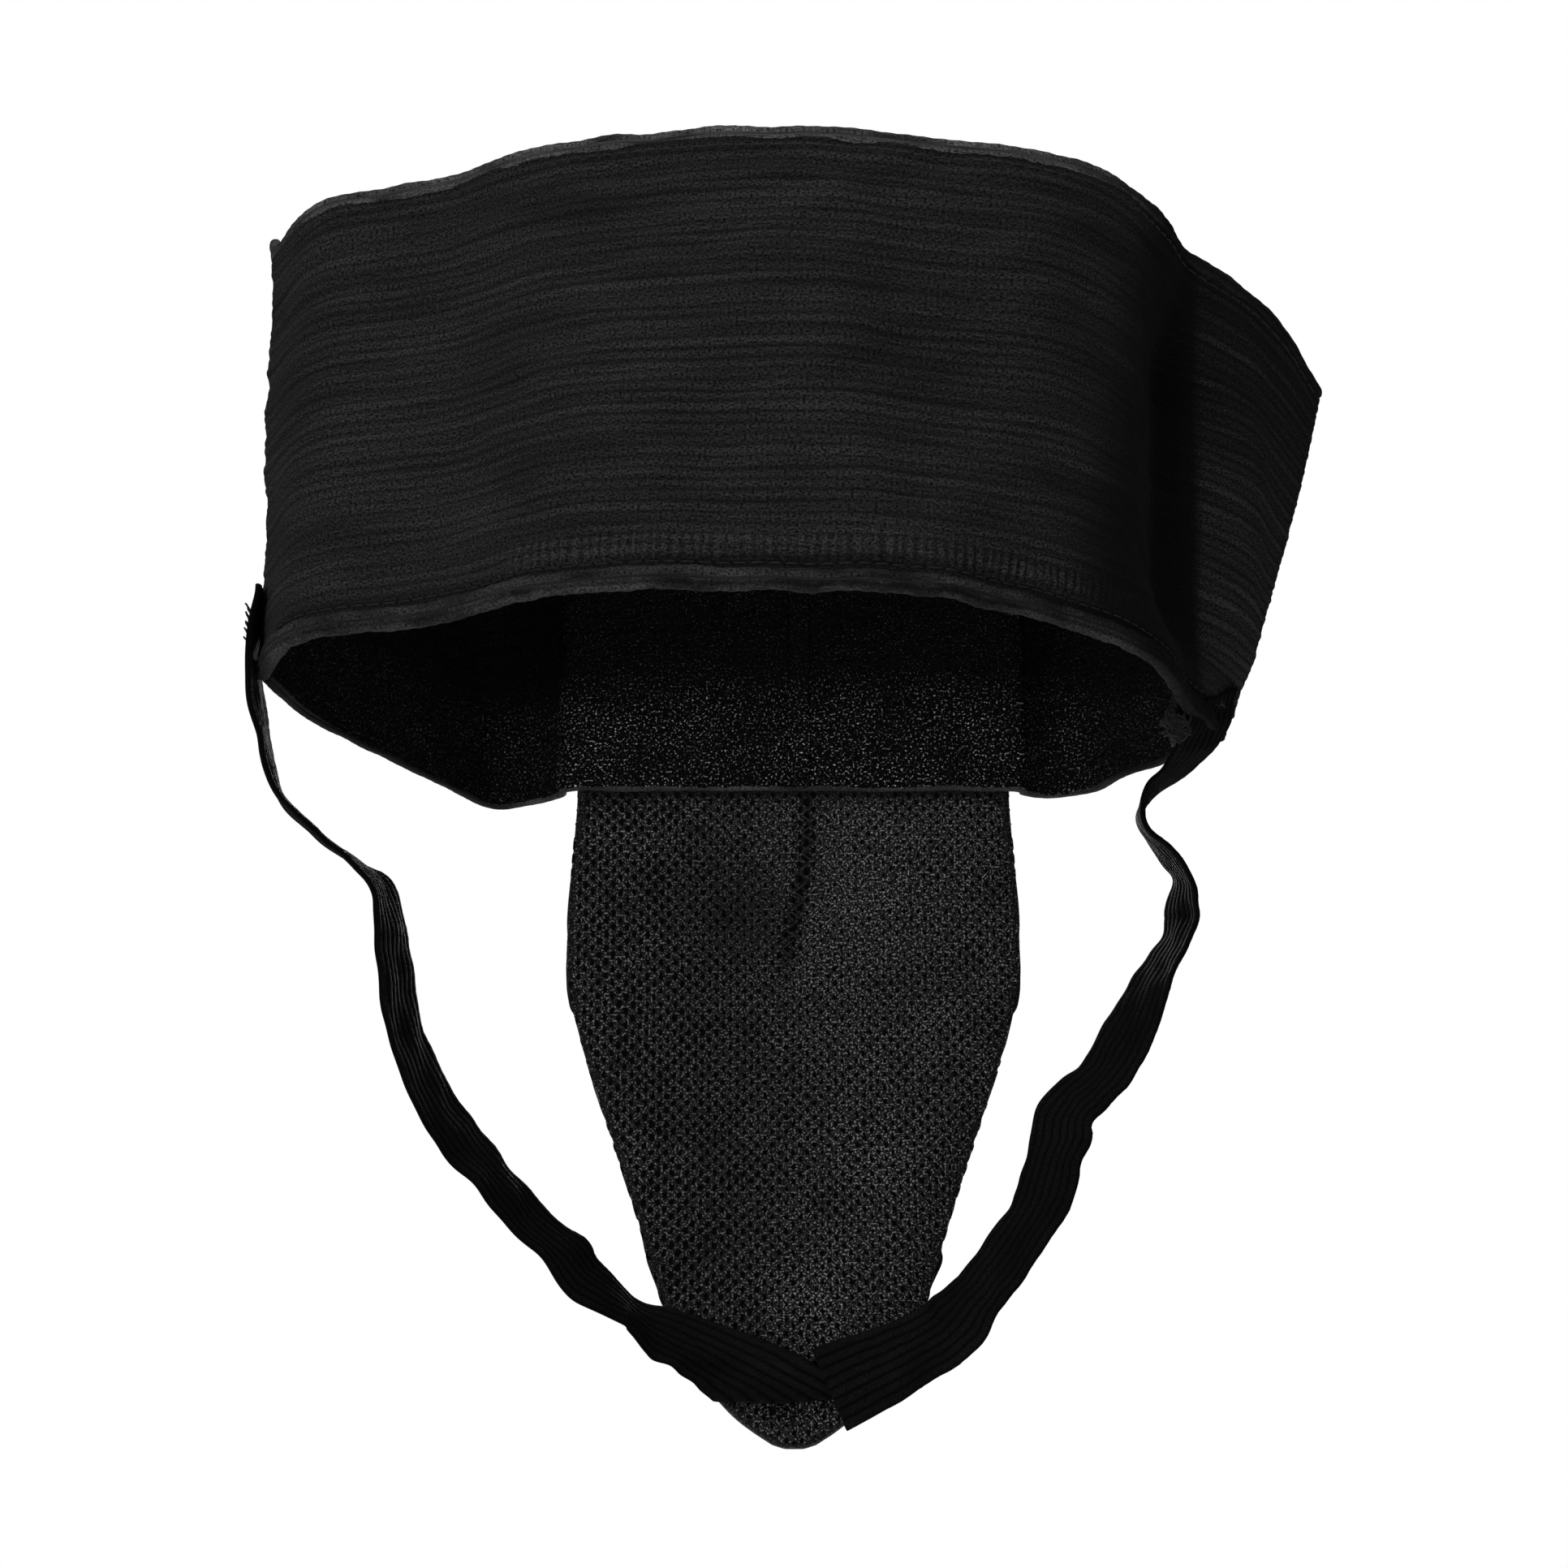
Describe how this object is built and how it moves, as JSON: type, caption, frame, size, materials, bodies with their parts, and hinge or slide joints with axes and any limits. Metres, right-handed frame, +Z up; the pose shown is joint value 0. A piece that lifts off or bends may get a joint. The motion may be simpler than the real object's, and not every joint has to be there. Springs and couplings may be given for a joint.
{
  "type": "groin protector",
  "caption": "Wide ribbed elastic waistband with a padded mesh-lined pouch round a hard vented cup, and two elastic leg straps from the band's sides to the pouch's tip.",
  "frame": {"origin": "middle of the front facing's outer face, where the band lies against a belt; the band's lower edge is 52 mm below it, and the middle of the waist opening 78 mm behind it", "axes": "+Z up along the wearer, -Y the wearer's front, +X the wearer's left"},
  "size_m": [0.2534, 0.2063, 0.264],
  "materials": {
    "elastic": "ribbed knitted elastic, matt black",
    "hem": "folded and overlocked edge, black with a slight sheen",
    "facing": "plain woven facing, matt black",
    "thread": "black polyester thread",
    "cover": "brushed polyester, matt black",
    "foam": "closed-cell foam, dark grey",
    "cup": "moulded polypropylene, off-white",
    "cushion": "soft foam ring, dark grey",
    "mesh": "warp-knitted air mesh, black, with small diamond holes",
    "strap": "ribbed elastic webbing, matt black"
  },
  "bodies": {
    "waistband": {"front_elastic": "elastic", "front_facing": "facing", "front_top_hem": "hem", "front_hem_piping": "hem", "centre_front_seam": "thread", "left_facing_stitching": "thread", "right_facing_stitching": "thread", "left_side_seam_tape": "hem", "right_side_seam_tape": "hem"},
    "back_band": {"back_elastic": "elastic", "back_top_hem": "hem", "back_bottom_welt": "hem", "back_hem_stitching": "thread"},
    "pouch": {"pouch_outer_cover": "cover", "pouch_foam_pad": "foam", "protective_cup": "cup", "cup_rim_cushion": "cushion", "pouch_mesh_lining": "mesh", "mesh_centre_seam": "thread", "left_pouch_edge_seam": "cover", "right_pouch_edge_seam": "cover", "left_strap_sewn_end": "strap", "right_strap_sewn_end": "strap"},
    "left_strap": {"left_leg_strap": "strap", "left_strap_bar_tack": "thread"},
    "right_strap": {"right_leg_strap": "strap", "right_strap_bar_tack": "thread"}
  },
  "joints": [
    {"name": "waist_stretch", "type": "slide", "parent": "waistband", "child": "back_band", "axis": [0, 1, 0], "range_m": [0, 0.035], "stiffness_N_per_m": 400},
    {"name": "pouch_swing", "type": "hinge", "parent": "waistband", "child": "pouch", "pos_m": [0, 0.00195, -0.053], "axis": [-1, 0, 0], "range_deg": [-30, 40], "stiffness_Nm_per_rad": 0.08},
    {"name": "left_strap_swing", "type": "hinge", "parent": "waistband", "child": "left_strap", "pos_m": [0.118, 0.09145, -0.048], "axis": [-1, 0, 0], "range_deg": [-20, 27]},
    {"name": "right_strap_swing", "type": "hinge", "parent": "waistband", "child": "right_strap", "pos_m": [-0.0875, 0.05345, -0.05], "axis": [-1, 0, 0], "range_deg": [-25, 33]}
  ],
  "couplings": [
    {"joint": "left_strap_swing", "follows": "pouch_swing", "ratio": 0.66},
    {"joint": "right_strap_swing", "follows": "pouch_swing", "ratio": 0.82}
  ]
}
